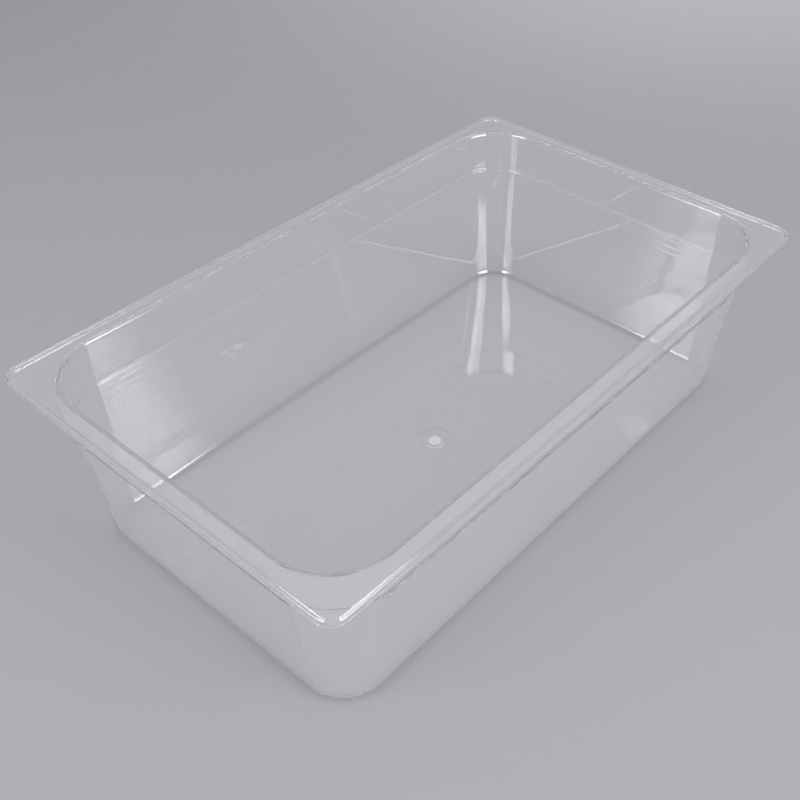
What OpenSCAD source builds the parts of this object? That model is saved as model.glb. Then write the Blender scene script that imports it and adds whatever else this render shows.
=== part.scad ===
// Full-size clear food pan, one injection moulding of transparent plastic.
// Millimetres. +Z is up, +X runs along the long side. The origin is the centre of the
// base's underside, so the pan stands on the plane z = 0.
//
// The bowl is one wall section swept round four upright corner axes: a quarter turn at
// each corner and a straight run along each side. The rim is a flat plate that is wide
// at the corners, where the outer corner is tight and the opening's corner is large,
// with a lip turned down along its outer edge.

/* [Overall] */
// Length over the rim
pan_l = 530; // [480:1:560]
// Width over the rim
pan_w = 325; // [290:1:350]
// Height from the base to the top of the rim
pan_h = 150; // [110:1:200]
// Thickness of the floor, walls and rim
wall_t = 3; // [2.4:0.1:3.6]

/* [Bowl] */
// Distance from the rim's outer edge in to each upright corner axis
axis_inset = 61.5; // [54:0.5:70]
// Distance from the rim's outer edge in to the collar's outside, at the top
collar_top_inset = 13.4; // [13:0.1:14]
// Distance from the rim's outer edge in to the collar's outside, at the shoulder
collar_foot_inset = 14.9; // [14.5:0.1:15.5]
// Distance from the rim's outer edge in to the wall's outside, under the shoulder
wall_top_inset = 16.9; // [16.5:0.1:18]
// Distance from the rim's outer edge in to the wall's outside, at the base
wall_foot_inset = 31; // [24:0.5:36]
// Depth of the stacking shoulder's ledge below the top of the rim
shoulder_depth = 37; // [30:1:45]
// Fall of the ledge from the collar to the wall
ledge_fall = 0.8; // [0.4:0.1:1.2]
// Radius of the ledge's edges
ledge_round = 0.9; // [0.5:0.1:1]
// Radius of the outside edge between wall and base
base_round = 9; // [6:0.5:12]

/* [Rim] */
// Radius of the rim's outer corners
rim_corner_r = 13; // [10:1:20]
// Radius of the rim's top outer edge
rim_edge_round = 2.5; // [1.5:0.1:2.9]
// Depth of the down-turned lip below the top of the rim
lip_depth = 6.5; // [5:0.5:10]
// Radius of the opening's top edge, where the rim turns down into the collar
mouth_round = 4.2; // [3.5:0.1:4.4]
// Radius of the fillet under the rim, where it meets the collar
under_rim_round = 1.2; // [0.5:0.1:1.3]

/* [Gate mark] */
// Radius of the shallow dimple under the middle of the floor, at the base's underside
dimple_r = 18; // [16:0.5:24]
// Depth of that dimple
dimple_depth = 0.6; // [0.5:0.1:1]
// Distance over which the dimple's side slopes from the underside to its full depth
dimple_run = 6; // [1:0.5:6]
// Radius of the moulding gate's stub where it meets the dimple's bottom
gate_r = 10.3; // [6:0.1:11]
// Radius of the stub's flat tip
gate_tip_r = 8.3; // [3:0.1:9]
// Height of that stub
gate_h = 0.5; // [0.2:0.1:0.5]

/* [Smoothness] */
// Sides of a full circle on the corners
corner_sides = 96; // [48:12:144]
// Steps in each rounded edge of a section
round_steps = 4; // [3:1:8]

/* [Hidden] */
clear_plastic = [0.86, 0.88, 0.90, 0.45];
half_l = pan_l / 2 - axis_inset;
half_w = pan_w / 2 - axis_inset;
rim_under_z = pan_h - wall_t;
ledge_z = pan_h - shoulder_depth;
// The outside of the ledge lies lower than its inside, to keep the wall's thickness
ledge_under_z = ledge_z - 0.8 * wall_t;
wall_slope = (wall_top_inset - wall_foot_inset) / ledge_under_z;
wall_draft = atan(-wall_slope);
wall_across = wall_t / cos(wall_draft);
// The rim plate stops inside the wall section's own stub of rim, and the two overlap
stub_inset = 10.5;
plate_hole_inset = stub_inset + 0.9;
lip_band = 6;
plate_edge_inset = lip_band - 1;

// Outside of the drafted wall: its distance in from the rim's outer edge at height z
function wall_inset(z) = wall_foot_inset + wall_slope * z;

// One corner of a section: the vertex b between a and c, rounded to radius r.
// A radius of 0 leaves the corner sharp.
function unit(v) = v / norm(v);
function rounded_corner(a, b, c, r) =
    let(
        to_a = unit(a - b),
        to_c = unit(c - b),
        half_angle = acos(to_a * to_c) / 2,
        centre = b + unit(to_a + to_c) * r / sin(half_angle),
        start = b + to_a * r / tan(half_angle) - centre,
        end = b + to_c * r / tan(half_angle) - centre,
        turn = 180 - 2 * half_angle
    )
    [for (i = [0 : round_steps])
        let(k = i / round_steps)
        centre + (start * sin((1 - k) * turn) + end * sin(k * turn)) / sin(turn)];

// A closed section from a list of vertices [distance from the axis, height, radius]
function rounded_section(v) =
    let(n = len(v))
    [for (i = [0 : n - 1])
        let(
            a = [v[(i + n - 1) % n].x, v[(i + n - 1) % n].y],
            b = [v[i].x, v[i].y],
            c = [v[(i + 1) % n].x, v[(i + 1) % n].y]
        )
        each v[i].z > 0 ? rounded_corner(a, b, c, v[i].z) : [b]];

// Turns a list of [distance in from the rim's edge, height, radius] into vertices
// measured out from an axis that stands at the given inset.
function from_axis(inset, v) = [for (p = v) [inset - p.x, p.y, p.z]];

// Section of the bowl, from the corner axis out over the floor and up to the rim
bowl_section = rounded_section(from_axis(axis_inset, [
    [axis_inset, 0, 0],
    [wall_foot_inset, 0, base_round],
    [wall_inset(ledge_under_z), ledge_under_z, ledge_round],
    [collar_foot_inset, ledge_under_z + ledge_fall, ledge_round],
    [collar_top_inset, rim_under_z, under_rim_round],
    [stub_inset, rim_under_z, 0],
    [stub_inset, pan_h, 0],
    [collar_top_inset + wall_t, pan_h, mouth_round],
    [collar_foot_inset + wall_t, ledge_z + ledge_fall, ledge_round],
    [wall_inset(ledge_z) + wall_across, ledge_z, ledge_round],
    [wall_inset(wall_t) + wall_across, wall_t, base_round - wall_t],
    [axis_inset, wall_t, 0]
]));

// Section of the rim's outer band, with the lip turned down at its edge
lip_section = rounded_section(from_axis(rim_corner_r, [
    [lip_band, rim_under_z, 0],
    [wall_t, rim_under_z, 0],
    [wall_t, pan_h - lip_depth, 0],
    [0, pan_h - lip_depth, 0],
    [0, pan_h, rim_edge_round],
    [lip_band, pan_h, 0]
]));

// Sweeps a section round a rectangle of corner axes, half_x by half_y from the middle
module swept(section, half_x, half_y) {
    for (side = [0 : 3]) {
        along_x = side % 2 == 1;
        run = along_x ? half_x : half_y;
        reach = along_x ? half_y : half_x;
        rotate([0, 0, 90 * side]) {
            translate([reach, run, 0])
                rotate([90, 0, 0])
                    linear_extrude(height = 2 * run)
                        polygon(section);
            translate([reach, run, 0])
                rotate_extrude(angle = 90, $fn = corner_sides)
                    polygon(section);
        }
    }
}

// Plan of the pan at a given distance in from the rim's outer edge
module rounded_plan(inset, r) {
    half_x = pan_l / 2 - inset - r;
    half_y = pan_w / 2 - inset - r;
    square([2 * half_x, 2 * (half_y + r)], center = true);
    square([2 * (half_x + r), 2 * half_y], center = true);
    for (x = [-half_x, half_x], y = [-half_y, half_y])
        translate([x, y])
            circle(r = r, $fn = corner_sides);
}

// Middle of the floor between the corner axes, with the gate's dimple under it
module floor_middle() {
    difference() {
        translate([-half_l, -half_w, 0])
            cube([2 * half_l, 2 * half_w, wall_t]);
        translate([0, 0, -dimple_depth])
            cylinder(r1 = dimple_r + dimple_run, r2 = dimple_r - dimple_run,
                     h = 2 * dimple_depth, $fn = corner_sides);
    }
}

// Stub that the moulding gate leaves in the dimple, clear of the surface under the pan.
// Its cone goes on into the floor above, so that the two overlap.
module gate_stub() {
    root_h = gate_h + wall_t / 4;
    root_r = gate_tip_r + (gate_r - gate_tip_r) * root_h / gate_h;
    translate([0, 0, dimple_depth - gate_h])
        cylinder(r1 = gate_tip_r, r2 = root_r, h = root_h, $fn = corner_sides);
}

// Walls, collar, shoulder and the outer part of the floor
module bowl() {
    swept(bowl_section, half_l, half_w);
}

// Flat rim between the lip's band and the opening, widest at the corners
module rim_plate() {
    translate([0, 0, rim_under_z])
        linear_extrude(height = wall_t)
            difference() {
                rounded_plan(plate_edge_inset, rim_corner_r - plate_edge_inset);
                rounded_plan(plate_hole_inset, axis_inset - plate_hole_inset);
            }
}

// Outer band of the rim with its down-turned lip
module lip() {
    swept(lip_section, pan_l / 2 - rim_corner_r, pan_w / 2 - rim_corner_r);
}

// The whole moulding is one solid
module pan() {
    color(clear_plastic)
        union() {
            floor_middle();
            gate_stub();
            bowl();
            rim_plate();
            lip();
        }
}

pan();
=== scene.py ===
"""Looks of the clear food pan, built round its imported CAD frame.

The pan is one closed mesh: a stack of rings that starts in the middle of the floor, runs out
over the floor, up the inside of the wall, across the rim, down and back under it, down the
outside of the wall and in under the floor to the moulding gate. Each ring is a rounded
rectangle, so every ring has the same number of points and neighbours join in clean quads.
Lengths in this file are in metres, in the frame's own axes.
"""
import math

import bpy
from mathutils import Matrix, Vector


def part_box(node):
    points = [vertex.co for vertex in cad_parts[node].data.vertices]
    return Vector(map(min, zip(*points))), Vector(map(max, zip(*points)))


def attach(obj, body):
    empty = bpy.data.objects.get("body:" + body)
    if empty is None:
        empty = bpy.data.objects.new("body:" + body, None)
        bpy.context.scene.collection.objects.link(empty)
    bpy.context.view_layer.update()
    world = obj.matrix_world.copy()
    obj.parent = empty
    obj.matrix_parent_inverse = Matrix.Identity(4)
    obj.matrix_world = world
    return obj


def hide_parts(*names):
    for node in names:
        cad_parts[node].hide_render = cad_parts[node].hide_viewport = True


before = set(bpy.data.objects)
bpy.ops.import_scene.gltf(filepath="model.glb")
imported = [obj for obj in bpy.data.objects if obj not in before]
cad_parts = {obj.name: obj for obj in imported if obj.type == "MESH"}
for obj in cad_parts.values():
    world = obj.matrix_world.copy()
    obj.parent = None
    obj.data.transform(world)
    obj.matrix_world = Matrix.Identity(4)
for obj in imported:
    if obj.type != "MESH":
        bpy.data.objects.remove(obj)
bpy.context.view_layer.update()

MM = 0.001

# ---------------------------------------------------------------- the pan's dimensions
low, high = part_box("pan")
HALF_L = (high.x - low.x) / 2
HALF_W = (high.y - low.y) / 2
RIM_Z = high.z

WALL_T = 3.0 * MM
AXIS_INSET = 61.5 * MM
COLLAR_TOP_INSET = 13.4 * MM
COLLAR_FOOT_INSET = 14.9 * MM
WALL_TOP_INSET = 16.9 * MM
WALL_FOOT_INSET = 31.0 * MM
SHOULDER_DEPTH = 37.0 * MM
LEDGE_FALL = 0.8 * MM
LEDGE_ROUND = 0.9 * MM
BASE_ROUND = 9.0 * MM
RIM_CORNER_R = 13.0 * MM
RIM_EDGE_ROUND = 2.5 * MM
LIP_DEPTH = 6.5 * MM
LIP_TIP_ROUND = 1.4 * MM
MOUTH_ROUND = 4.2 * MM
UNDER_RIM_ROUND = 1.2 * MM
DIMPLE_R = 18.0 * MM
DIMPLE_DEPTH = 0.6 * MM
DIMPLE_RUN = 6.0 * MM
GATE_R = 10.3 * MM
GATE_TIP_R = 8.3 * MM
GATE_H = 0.5 * MM
# Radius of the matt scar where the gate was cut off, on the stub's tip
SCAR_R = 5.5 * MM
# Upright thickness of the shoulder's ledge, as a share of the wall's
LEDGE_T_SHARE = 0.8

RIM_UNDER_Z = RIM_Z - WALL_T
LEDGE_Z = RIM_Z - SHOULDER_DEPTH
LEDGE_UNDER_Z = LEDGE_Z - LEDGE_T_SHARE * WALL_T
WALL_SLOPE = (WALL_TOP_INSET - WALL_FOOT_INSET) / LEDGE_UNDER_Z
WALL_ACROSS = WALL_T * math.hypot(1, WALL_SLOPE)
# Inset at which the section leaves the round rings of the middle of the floor
FLOOR_START_INSET = AXIS_INSET - 2 * MM

# Steps round each corner, and along each straight side
CORNER_STEPS = 28
SIDE_STEPS = 12
# Turn in degrees that one step of a rounded edge may take, and the fewest steps it has
EDGE_STEP_DEG = 7.0
MIN_EDGE_STEPS = 3
# Steps in the slopes of the dimple and the gate's stub
SLOPE_STEPS = 8
# Radii in mm of the flat rings in the middle of the floor, above and under it
TOP_RING_RADII = (4, 9, 16, 30, 55)
UNDER_RING_RADII = (55, 30)
# How near the wall's inside a point has to be to count as lying on it
ON_WALL = 0.001 * MM

# Raised marks on the inside of the wall: plain bars under the shoulder. Beyond a bar's
# length and height, its edge slopes away over twice BAR_EDGE.
BAR_COUNT = 3
BAR_L = 26.0 * MM
BAR_H = 1.4 * MM
BAR_PITCH = 6.0 * MM
BAR_RISE = 0.35 * MM
BAR_EDGE = 0.5 * MM
BAR_FIRST_DROP = 6.0 * MM
# Room kept between the bars' columns and a side's even ones, as a share of its half length
BAR_COLUMN_GAP = 0.02


def wall_inset(z):
    """Distance of the drafted wall's outside in from the rim's outer edge, at height z."""
    return WALL_FOOT_INSET + WALL_SLOPE * z


def inner_inset(z):
    """The same for the wall's inside."""
    return wall_inset(z) + WALL_ACROSS


# ---------------------------------------------------------------- section
class Vertex:
    """A corner of the section: inset from the rim's outer edge, height, rounding radius,
    and the inset of the upright axis that the pan's corner turns about there."""

    def __init__(self, inset, z, radius, axis):
        self.at = Vector((inset, z))
        self.radius = radius
        self.axis = axis


def bowl(inset, z, radius=0.0):
    return Vertex(inset, z, radius, AXIS_INSET)


def rim(inset, z, radius=0.0):
    return Vertex(inset, z, radius, RIM_CORNER_R)


def section_vertices():
    """The pan's section from the floor's top round to the base, with the solid inside."""
    return [
        bowl(FLOOR_START_INSET, WALL_T),
        bowl(inner_inset(WALL_T), WALL_T, BASE_ROUND - WALL_T),
        bowl(inner_inset(LEDGE_Z), LEDGE_Z, LEDGE_ROUND),
        bowl(COLLAR_FOOT_INSET + WALL_T, LEDGE_Z + LEDGE_FALL, LEDGE_ROUND),
        bowl(COLLAR_TOP_INSET + WALL_T, RIM_Z, MOUTH_ROUND),
        rim(0, RIM_Z, RIM_EDGE_ROUND),
        rim(0, RIM_Z - LIP_DEPTH, LIP_TIP_ROUND),
        rim(WALL_T, RIM_Z - LIP_DEPTH, LIP_TIP_ROUND),
        rim(WALL_T, RIM_UNDER_Z, LIP_TIP_ROUND),
        bowl(COLLAR_TOP_INSET, RIM_UNDER_Z, UNDER_RIM_ROUND),
        bowl(COLLAR_FOOT_INSET, LEDGE_UNDER_Z + LEDGE_FALL, LEDGE_ROUND),
        bowl(wall_inset(LEDGE_UNDER_Z), LEDGE_UNDER_Z, LEDGE_ROUND),
        bowl(WALL_FOOT_INSET, 0, BASE_ROUND),
        bowl(FLOOR_START_INSET, 0),
    ]


def rounded(a, b, c):
    """Points round vertex b between a and c, as (point, outward normal) in (inset, z)."""
    to_a, to_c = (a.at - b.at).normalized(), (c.at - b.at).normalized()
    half = to_a.angle(to_c) / 2
    bisector = (to_a + to_c).normalized()
    centre = b.at + bisector * (b.radius / math.sin(half))
    start = b.at + to_a * (b.radius / math.tan(half)) - centre
    end = b.at + to_c * (b.radius / math.tan(half)) - centre
    turn = math.pi - 2 * half
    steps = max(MIN_EDGE_STEPS, round(math.degrees(turn) / EDGE_STEP_DEG))
    travel = c.at - a.at
    outward = Vector((travel.y, -travel.x))
    side = 1 if outward.dot(bisector) < 0 else -1
    for i in range(steps + 1):
        k = i / steps
        arm = (start * math.sin((1 - k) * turn) + end * math.sin(k * turn)) / math.sin(turn)
        yield centre + arm, arm.normalized() * side


def bar_stops(middle, extent):
    """Where one raised bar begins, crests and ends, in either direction."""
    for step in (-2, -1, 0):
        yield middle - extent / 2 + step * BAR_EDGE
    for step in (0, 1, 2):
        yield middle + extent / 2 + step * BAR_EDGE


def bar_middle(n):
    """Height of the middle of the nth bar down from the shoulder."""
    return LEDGE_Z - BAR_FIRST_DROP - n * BAR_PITCH


def bar_levels():
    """Heights on the wall's inside where the raised bars begin, crest and end, upwards."""
    return sorted(z for n in range(BAR_COUNT) for z in bar_stops(bar_middle(n), BAR_H))


def section_points():
    """Every point of the section in order, as (inset, z, normal, corner axis's inset)."""
    vertices = section_vertices()
    points = []
    for i, b in enumerate(vertices):
        if b.radius:
            for at, normal in rounded(vertices[i - 1], b, vertices[(i + 1) % len(vertices)]):
                points.append((at.x, at.y, normal, b.axis))
        else:
            up = 1 if i == 0 else -1
            points.append((b.at.x, b.at.y, Vector((0, up)), b.axis))
        if i == 1:
            wall_normal = points[-1][2]
            for z in bar_levels():
                points.append((inner_inset(z), z, wall_normal, AXIS_INSET))
    return points


# ---------------------------------------------------------------- raised bars
class BarPlace:
    """Where a set of raised bars stands: a side of the pan, and its middle along it."""

    def __init__(self, side, middle):
        self.side = side
        self.middle = middle


# Sides run anticlockwise seen from above: 0 is +Y, 1 is -X, 2 is -Y and 3 is +X. The place
# along a side is measured from its middle, the way the rings run.
BAR_PLACES = [BarPlace(side=3, middle=-58 * MM), BarPlace(side=0, middle=186 * MM)]


def hump(distance, reach):
    """Height and slope of a smooth-edged hump, flat for the reach each side of its middle."""
    past = (abs(distance) - reach) / (2 * BAR_EDGE)
    if past <= 0:
        return 1.0, 0.0
    if past >= 1:
        return 0.0, 0.0
    height = (1 + math.cos(math.pi * past)) / 2
    slope = -math.pi * math.sin(math.pi * past) / (4 * BAR_EDGE)
    return height, math.copysign(slope, -distance)


def relief(side, along, z):
    """Rise of the raised bars off the wall's inside, and its slopes along and up."""
    for place in BAR_PLACES:
        if place.side != side:
            continue
        across, across_slope = hump(along - place.middle, BAR_L / 2)
        for n in range(BAR_COUNT):
            up, up_slope = hump(z - bar_middle(n), BAR_H / 2)
            if across * up > 0:
                return (
                    BAR_RISE * across * up,
                    BAR_RISE * across_slope * up,
                    BAR_RISE * across * up_slope,
                )
    return 0.0, 0.0, 0.0


# ---------------------------------------------------------------- rings
def side_stations(side):
    """Places along a straight side of the bowl, from -1 to 1, between its two corners."""
    half_run = (HALF_L if side % 2 == 0 else HALF_W) - AXIS_INSET
    stations = {-1 + 2 * i / SIDE_STEPS for i in range(1, SIDE_STEPS)}
    for place in BAR_PLACES:
        if place.side == side:
            bars = sorted(x / half_run for x in bar_stops(place.middle, BAR_L))
            first, last = bars[0] - BAR_COLUMN_GAP, bars[-1] + BAR_COLUMN_GAP
            stations = {s for s in stations if not first < s < last}
            stations |= set(bars)
    return sorted(stations)


def columns():
    """Every column of a ring, as (corner centre's signs, angle) or (side, station)."""
    made = []
    for corner in range(4):
        for i in range(CORNER_STEPS + 1):
            angle = math.radians(90 * (corner + i / CORNER_STEPS))
            made.append(("corner", corner, angle))
        for station in side_stations(corner):
            made.append(("side", corner, station))
    return made


SIGNS = [(1, 1), (-1, 1), (-1, -1), (1, -1)]


def place_on_ring(column, inset, axis):
    """Point in plan where a column crosses the ring at this inset, and its outward way."""
    kind, which, value = column
    half_x, half_y = HALF_L - axis, HALF_W - axis
    reach = axis - inset
    if kind == "corner":
        out = Vector((math.cos(value), math.sin(value)))
        sx, sy = SIGNS[which]
        return Vector((sx * half_x, sy * half_y)) + out * reach, out
    angle = math.radians(90 * (which + 1))
    out = Vector((round(math.cos(angle)), round(math.sin(angle))))
    way = Vector((-out.y, out.x))
    half_run = half_x if which % 2 == 0 else half_y
    half_reach = half_y if which % 2 == 0 else half_x
    return out * (half_reach + reach) + way * (value * half_run), out


def middle_rings_top():
    """Flat rings in the middle of the floor's top, from the centre out."""
    return [(r * MM, WALL_T, 0.0, 1.0) for r in TOP_RING_RADII]


def eased_rings(r_from, r_to, z_from, z_to):
    """Rings of a slope that eases from one level to another, as (radius, z, nr, nz)."""
    for i in range(SLOPE_STEPS + 1):
        k = i / SLOPE_STEPS
        z = z_from + (z_to - z_from) * (1 - math.cos(math.pi * k)) / 2
        rise = (z_to - z_from) * math.pi * math.sin(math.pi * k) / (2 * (r_from - r_to))
        yield r_from + (r_to - r_from) * k, z, -rise, -1.0


def middle_rings_under():
    """Rings under the middle of the floor, from outside in: the dimple and gate stub."""
    rings = [(r * MM, 0.0, 0.0, -1.0) for r in UNDER_RING_RADII]
    rings += eased_rings(DIMPLE_R, DIMPLE_R - DIMPLE_RUN, 0.0, DIMPLE_DEPTH)
    rings += eased_rings(GATE_R, GATE_TIP_R, DIMPLE_DEPTH, DIMPLE_DEPTH - GATE_H)
    rings.append((SCAR_R, DIMPLE_DEPTH - GATE_H, 0.0, -1.0))
    return rings


def build_pan():
    """The pan's closed mesh. Its last faces, the gate's scar, take the second material."""
    around = columns()
    section = section_points()
    n = len(around)
    spokes = [place_on_ring(c, section[0][0], AXIS_INSET)[0].normalized() for c in around]
    points, normals = [], []

    def add(point, normal):
        points.append(point)
        normals.append(normal.normalized())

    def add_round(ring):
        radius, z, nr, nz = ring
        for spoke in spokes:
            add(Vector((spoke.x * radius, spoke.y * radius, z)),
                Vector((spoke.x * nr, spoke.y * nr, nz)))

    add(Vector((0, 0, WALL_T)), Vector((0, 0, 1)))
    for ring in middle_rings_top():
        add_round(ring)
    for inset, z, normal, axis in section:
        on_inner_wall = axis == AXIS_INSET and abs(inset - inner_inset(z)) < ON_WALL
        for column in around:
            at, out = place_on_ring(column, inset, axis)
            point = Vector((at.x, at.y, z))
            facing = Vector((-normal.x * out.x, -normal.x * out.y, normal.y))
            if on_inner_wall and column[0] == "side":
                way = Vector((-out.y, out.x, 0))
                rise, along_slope, up_slope = relief(column[1], point.dot(way), z)
                if rise or along_slope or up_slope:
                    up = facing.cross(way)
                    up = up if up.z > 0 else -up
                    point = point + facing * rise
                    facing = facing - way * along_slope - up * up_slope
            add(point, facing)
    for ring in middle_rings_under():
        add_round(ring)
    last_centre = len(points)
    add(Vector((0, 0, DIMPLE_DEPTH - GATE_H)), Vector((0, 0, -1)))

    rings = (last_centre - 1) // n
    faces = [(0, 1 + i, 1 + (i + 1) % n) for i in range(n)]
    for r in range(rings - 1):
        here, there = 1 + r * n, 1 + (r + 1) * n
        for i in range(n):
            j = (i + 1) % n
            faces.append((here + i, there + i, there + j, here + j))
    last = 1 + (rings - 1) * n
    faces += [(last + i, last_centre, last + (i + 1) % n) for i in range(n)]

    mesh = bpy.data.meshes.new("pan_moulding")
    mesh.from_pydata(points, [], faces)
    mesh.validate()
    mesh.polygons.foreach_set("use_smooth", [True] * len(mesh.polygons))
    scar = [1 if i >= len(faces) - n else 0 for i in range(len(faces))]
    mesh.polygons.foreach_set("material_index", scar)
    mesh.normals_split_custom_set_from_vertices(normals)
    mesh.update()
    obj = bpy.data.objects.new("pan_moulding", mesh)
    bpy.context.scene.collection.objects.link(obj)
    return obj


# ---------------------------------------------------------------- materials
class Nodes:
    """Short names for making and joining shader nodes in one material."""

    def __init__(self, name="", tree=None):
        if tree is None:
            self.material = bpy.data.materials.new(name)
            self.material.use_nodes = True
            tree = self.material.node_tree
        self.tree = tree
        self.tree.nodes.clear()

    def add(self, kind, **settings):
        node = self.tree.nodes.new(kind)
        for key, value in settings.items():
            setattr(node, key, value)
        return node

    def join(self, source, target):
        self.tree.links.new(source, target)

    def math(self, operation, a, b=None, clamp=False):
        node = self.add("ShaderNodeMath", operation=operation, use_clamp=clamp)
        for socket, value in zip(node.inputs, (a, b)):
            if value is None:
                continue
            if isinstance(value, (int, float)):
                socket.default_value = value
            else:
                self.join(value, socket)
        return node.outputs[0]

    def noise(self, vector, scale, detail=2.0, roughness=0.5):
        node = self.add("ShaderNodeTexNoise")
        node.inputs["Scale"].default_value = scale
        node.inputs["Detail"].default_value = detail
        node.inputs["Roughness"].default_value = roughness
        self.join(vector, node.inputs["Vector"])
        return node.outputs["Fac"]

    def stretched(self, vector, turn, scale):
        node = self.add("ShaderNodeMapping")
        node.inputs["Rotation"].default_value = turn
        node.inputs["Scale"].default_value = scale
        self.join(vector, node.inputs["Vector"])
        return node.outputs["Vector"]

    def remap(self, value, low_in, high_in, low_out, high_out):
        node = self.add("ShaderNodeMapRange")
        node.inputs["From Min"].default_value = low_in
        node.inputs["From Max"].default_value = high_in
        node.inputs["To Min"].default_value = low_out
        node.inputs["To Max"].default_value = high_out
        self.join(value, node.inputs["Value"])
        return node.outputs["Result"]

    def edge_fade(self, value, reach):
        """1 in the middle of a 0 to 1 range, easing to 0 over the given reach at its ends."""
        from_middle = self.math("ABSOLUTE", self.math("SUBTRACT", value, 0.5))
        from_end = self.math("SUBTRACT", 0.5, from_middle)
        node = self.add("ShaderNodeMapRange", interpolation_type="SMOOTHSTEP")
        node.inputs["From Max"].default_value = reach
        self.join(from_end, node.inputs["Value"])
        return node.outputs["Result"]


PLASTIC_IOR = 1.585
PLASTIC_COLOUR = (0.975, 0.98, 0.985, 1)
# Noise scales: the moulding's waves, its fine unevenness, and the patches of scuffs
WAVE_SCALE, PEEL_SCALE, PATCH_SCALE = 22, 260, 14
# The two directions of scuffs: turn, scale along each axis, and the noise's range they show in
SCUFFS = (
    ((0.2, 0.1, 0.5), (900, 22, 60), (0.66, 0.72)),
    ((-0.1, 0.3, -0.9), (24, 800, 70), (0.67, 0.73)),
)
PATCH_RANGE = (0.45, 0.65)
# How far each detail goes into the surface, as a share of the bump's distance
WAVE_DEPTH, PEEL_DEPTH, SCUFF_DEPTH = 0.1, 0.012, 0.006
BUMP_DISTANCE = 0.25 * MM
# Roughness that the fine unevenness adds at least and at most, and that a scuff adds
LEAST_ROUGH, MOST_ROUGH, SCUFF_ROUGH = 0.015, 0.035, 0.12
# Light that a face passes when hit square on, and the share it turns back at a grazing angle
PASSED_SQUARE = 0.98
TURNED_BACK, TURNED_BACK_POWER = 0.3, 5
# Share of the light that a face sloping at 45 degrees throws aside
LENS_LOSS = 0.28


def scuffs(m, place):
    """Hairline scuffs in two directions, 1 on a hair and 0 elsewhere."""
    hairs = []
    for turn, scale, (low_in, high_in) in SCUFFS:
        noise = m.noise(m.stretched(place, turn, scale), 1.0, detail=3)
        hairs.append(m.remap(noise, low_in, high_in, 0, 1))
    hair = m.math("MAXIMUM", *hairs)
    patches = m.remap(m.noise(place, PATCH_SCALE, detail=3), *PATCH_RANGE, 0.0, 1.0)
    return m.math("MULTIPLY", hair, patches)


def tint_of_passed_light(m):
    """Colour of the lamp and bounce light that goes straight through a face: less what the
    face turns back, and what the curved zones, whose faces slope between flat and upright,
    throw aside as a lens does."""
    slant = m.add("ShaderNodeLayerWeight")
    slant.inputs["Blend"].default_value = 0.5
    grazing = m.math("POWER", slant.outputs["Facing"], TURNED_BACK_POWER)
    turned_back = m.math("MULTIPLY", grazing, TURNED_BACK)
    facing = m.add("ShaderNodeSeparateXYZ")
    m.join(m.add("ShaderNodeNewGeometry").outputs["Normal"], facing.inputs[0])
    flat = m.math("POWER", facing.outputs["Z"], 2)
    sloping = m.math("MULTIPLY", flat, m.math("SUBTRACT", 1.0, flat))
    thrown_aside = m.math("MULTIPLY", sloping, 4 * LENS_LOSS)
    left = m.math("SUBTRACT", PASSED_SQUARE, turned_back)
    passed = m.math("SUBTRACT", left, thrown_aside, clamp=True)
    tint = m.add("ShaderNodeCombineColor")
    for channel in tint.inputs:
        m.join(passed, channel)
    return tint.outputs[0]


def clear_plastic(name, roughness=0.0, clearness=0.965):
    """Clear polycarbonate: glossy, faintly uneven from moulding, with hairline scuffs."""
    m = Nodes(name)
    place = m.add("ShaderNodeTexCoord").outputs["Object"]

    waves = m.noise(place, WAVE_SCALE, detail=1.5)
    peel = m.noise(place, PEEL_SCALE, detail=2)
    hair = scuffs(m, place)

    height = m.math("ADD", m.math("MULTIPLY", waves, WAVE_DEPTH),
                    m.math("MULTIPLY", peel, PEEL_DEPTH))
    height = m.math("SUBTRACT", height, m.math("MULTIPLY", hair, SCUFF_DEPTH))
    bump = m.add("ShaderNodeBump")
    bump.inputs["Strength"].default_value = 1.0
    bump.inputs["Distance"].default_value = BUMP_DISTANCE
    m.join(height, bump.inputs["Height"])

    gloss = m.remap(peel, 0.3, 0.7, roughness + LEAST_ROUGH, roughness + MOST_ROUGH)
    rough = m.math("ADD", gloss, m.math("MULTIPLY", hair, SCUFF_ROUGH))

    shader = m.add("ShaderNodeBsdfPrincipled")
    shader.inputs["Base Color"].default_value = PLASTIC_COLOUR
    shader.inputs["Transmission Weight"].default_value = clearness
    shader.inputs["IOR"].default_value = PLASTIC_IOR
    m.join(rough, shader.inputs["Roughness"])
    m.join(bump.outputs["Normal"], shader.inputs["Normal"])

    through = m.add("ShaderNodeBsdfTransparent")
    m.join(tint_of_passed_light(m), through.inputs["Color"])

    path = m.add("ShaderNodeLightPath")
    mix = m.add("ShaderNodeMixShader")
    lighting = m.math("MAXIMUM", path.outputs["Is Shadow Ray"], path.outputs["Is Diffuse Ray"])
    m.join(lighting, mix.inputs["Fac"])
    m.join(shader.outputs[0], mix.inputs[1])
    m.join(through.outputs[0], mix.inputs[2])
    output = m.add("ShaderNodeOutputMaterial")
    m.join(mix.outputs[0], output.inputs["Surface"])
    return m.material


PAPER_COLOUR = (0.275, 0.271, 0.286, 1)
PAPER_FIBRE_SCALE = 40
PAPER_ROUGHNESS = (0.8, 0.95)
PAPER_SHEEN = 0.2


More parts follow.
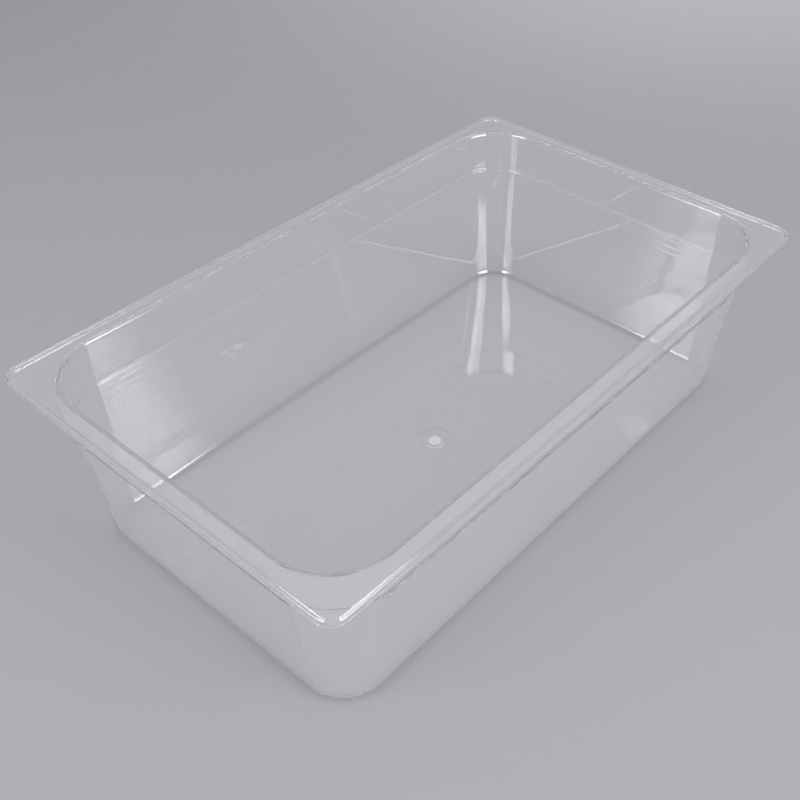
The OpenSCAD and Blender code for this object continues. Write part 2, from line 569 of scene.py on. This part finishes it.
def backdrop_paper():
    """Matt pale grey paper."""
    m = Nodes("backdrop_paper")
    place = m.add("ShaderNodeTexCoord").outputs["Object"]
    fibre = m.noise(place, PAPER_FIBRE_SCALE, detail=4)
    shader = m.add("ShaderNodeBsdfPrincipled")
    shader.inputs["Base Color"].default_value = PAPER_COLOUR
    m.join(m.remap(fibre, 0.3, 0.7, *PAPER_ROUGHNESS), shader.inputs["Roughness"])
    shader.inputs["Specular IOR Level"].default_value = PAPER_SHEEN
    output = m.add("ShaderNodeOutputMaterial")
    m.join(shader.outputs[0], output.inputs["Surface"])
    return m.material


# ---------------------------------------------------------------- the pan
# The cut gate is rougher and less clear than the moulding
SCAR_ROUGHNESS, SCAR_CLEARNESS = 0.45, 0.8

pan = build_pan()
pan.data.materials.append(clear_plastic("clear_polycarbonate"))
pan.data.materials.append(
    clear_plastic("gate_scar", roughness=SCAR_ROUGHNESS, clearness=SCAR_CLEARNESS))
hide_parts("pan")
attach(pan, "root")

# ---------------------------------------------------------------- stage
FLOOR_HALF = 6.0
# Gap that keeps the floor clear of the pan's base
FLOOR_GAP = 0.2 * MM


def build_floor():
    """The sheet of paper that the pan stands on."""
    corners = [(-FLOOR_HALF, -FLOOR_HALF), (FLOOR_HALF, -FLOOR_HALF),
               (FLOOR_HALF, FLOOR_HALF), (-FLOOR_HALF, FLOOR_HALF)]
    mesh = bpy.data.meshes.new("floor")
    mesh.from_pydata([(x, y, low.z - FLOOR_GAP) for x, y in corners], [], [(0, 1, 2, 3)])
    obj = bpy.data.objects.new("floor", mesh)
    bpy.context.scene.collection.objects.link(obj)
    obj.data.materials.append(backdrop_paper())
    return obj


build_floor()


UP = Vector((0, 0, 1))
RIM_CENTRE = Vector(((low.x + high.x) / 2, (low.y + high.y) / 2, RIM_Z))
# Directions in plan from the camera's side: ahead of it, and to its right
CAMERA_BEARING = math.radians(219.55)
AHEAD = Vector((-math.cos(CAMERA_BEARING), -math.sin(CAMERA_BEARING), 0))
RIGHT = Vector((AHEAD.y, -AHEAD.x, 0))

# Each tall softbox's place, ahead of the rim's centre and to its right, and power in watts
TALL_SOFTBOXES = {
    "softbox_left": (-1.5, -1.64, 92.0),
    "softbox_right": (-1.22, 1.65, 116.0),
}
TALL_W = 1.6
# Heights of its foot and head above the rim, and how far ahead and outward the head leans
TALL_FOOT_Z, TALL_HEAD_Z = 0.32, 3.0
TALL_LEAN_AHEAD, TALL_LEAN_OUT = 0.25, 0.18
# Brightness of its lower half and of its head, and where up its height one turns into the other
TALL_DIM, TALL_BRIGHT = 0.8, 2.2
TALL_TURN = (0.5, 0.85)
# Share of its width and of its height over which each edge fades
TALL_SIDE_FADE, TALL_END_FADE = 0.12, 0.06

WORLD_COLOUR = (0.97, 0.96, 1.0, 1)
WORLD_STRENGTH = 0.41


def from_centre(ahead, right, up):
    """A point given from the middle of the pan's rim, along the camera's directions."""
    return RIM_CENTRE + AHEAD * ahead + RIGHT * right + UP * up


def upright(away, up=UP):
    """Axes whose Z points along away and whose Y leans as near as it can to up."""
    across = up.cross(away).normalized()
    return Matrix((across, away.cross(across), away)).transposed()


def softbox(name, at, aim, width, height, power, spread_deg=180):
    """A rectangular area light at a point, turned to face another."""
    light = bpy.data.lights.new(name, "AREA")
    light.shape = "RECTANGLE"
    light.size, light.size_y = width, height
    light.energy = power
    light.spread = math.radians(spread_deg)
    obj = bpy.data.objects.new(name, light)
    obj.matrix_world = Matrix.Translation(at) @ upright((at - aim).normalized()).to_4x4()
    bpy.context.scene.collection.objects.link(obj)
    return obj


def tall_softbox(name, foot, head, power):
    """A tall softbox from foot to head, facing the rim: soft edges, brighter at its head."""
    at, rise = (foot + head) / 2, head - foot
    away = at - RIM_CENTRE
    away = (away - rise * (away.dot(rise) / rise.length_squared)).normalized()
    obj = softbox(name, at, at - away, TALL_W, rise.length, power)
    obj.matrix_world = Matrix.Translation(at) @ upright(away, rise.normalized()).to_4x4()

    obj.data.use_nodes = True
    m = Nodes(tree=obj.data.node_tree)
    place = m.add("ShaderNodeSeparateXYZ")
    m.join(m.add("ShaderNodeNewGeometry").outputs["Parametric"], place.inputs[0])
    across, along = place.outputs["X"], place.outputs["Y"]
    fades = m.math("MULTIPLY", m.edge_fade(across, TALL_SIDE_FADE),
                   m.edge_fade(along, TALL_END_FADE))
    strength = m.math("MULTIPLY", fades, m.remap(along, *TALL_TURN, TALL_DIM, TALL_BRIGHT))
    lamp = m.add("ShaderNodeEmission")
    m.join(strength, lamp.inputs["Strength"])
    m.join(lamp.outputs[0], m.add("ShaderNodeOutputLight").inputs["Surface"])


for name, (ahead, right, power) in TALL_SOFTBOXES.items():
    foot = from_centre(ahead, right, TALL_FOOT_Z)
    lean_right = math.copysign(TALL_LEAN_OUT, right)
    head = from_centre(ahead + TALL_LEAN_AHEAD, right + lean_right, TALL_HEAD_Z)
    tall_softbox(name, foot, head, power)
softbox("backdrop_light", at=from_centre(0.9, 0.5, 1.2), aim=from_centre(1.7, 0.4, -0.15),
        width=0.6, height=0.6, power=5.0, spread_deg=90)

world = bpy.data.worlds.new("studio")
world.use_nodes = True
background = world.node_tree.nodes["Background"]
background.inputs["Color"].default_value = WORLD_COLOUR
background.inputs["Strength"].default_value = WORLD_STRENGTH
scene = bpy.context.scene
scene.world = world
scene.view_settings.view_transform = "Standard"
# Light turns back many times inside the clear walls before it leaves them
scene.cycles.max_bounces = 32
scene.cycles.transmission_bounces = 32
scene.cycles.glossy_bounces = 16

# ---------------------------------------------------------------- camera
CAMERA_ELEVATION = math.radians(38.13)
CAMERA_ROLL = math.radians(1.04)
CAMERA_DISTANCE = 0.7736
CAMERA_AIM = Vector((-0.0304, -0.0594, 0))
CAMERA_LENS_MM, CAMERA_SENSOR_MM = 49.18, 36
CAMERA_SHIFT = (-0.0851, -0.0667)
CAMERA_CLIP = (0.01, 50)


def build_camera():
    """A camera that looks down on the middle of the rim from one corner."""
    data = bpy.data.cameras.new("camera")
    data.sensor_width = CAMERA_SENSOR_MM
    data.lens = CAMERA_LENS_MM
    data.shift_x, data.shift_y = CAMERA_SHIFT
    data.clip_start, data.clip_end = CAMERA_CLIP
    back = Vector((
        math.cos(CAMERA_ELEVATION) * math.cos(CAMERA_BEARING),
        math.cos(CAMERA_ELEVATION) * math.sin(CAMERA_BEARING),
        math.sin(CAMERA_ELEVATION),
    ))
    turn = upright(back) @ Matrix.Rotation(CAMERA_ROLL, 3, "Z")
    at = RIM_CENTRE + CAMERA_AIM + back * CAMERA_DISTANCE
    obj = bpy.data.objects.new("camera", data)
    obj.matrix_world = Matrix.Translation(at) @ turn.to_4x4()
    scene.collection.objects.link(obj)
    scene.camera = obj


build_camera()
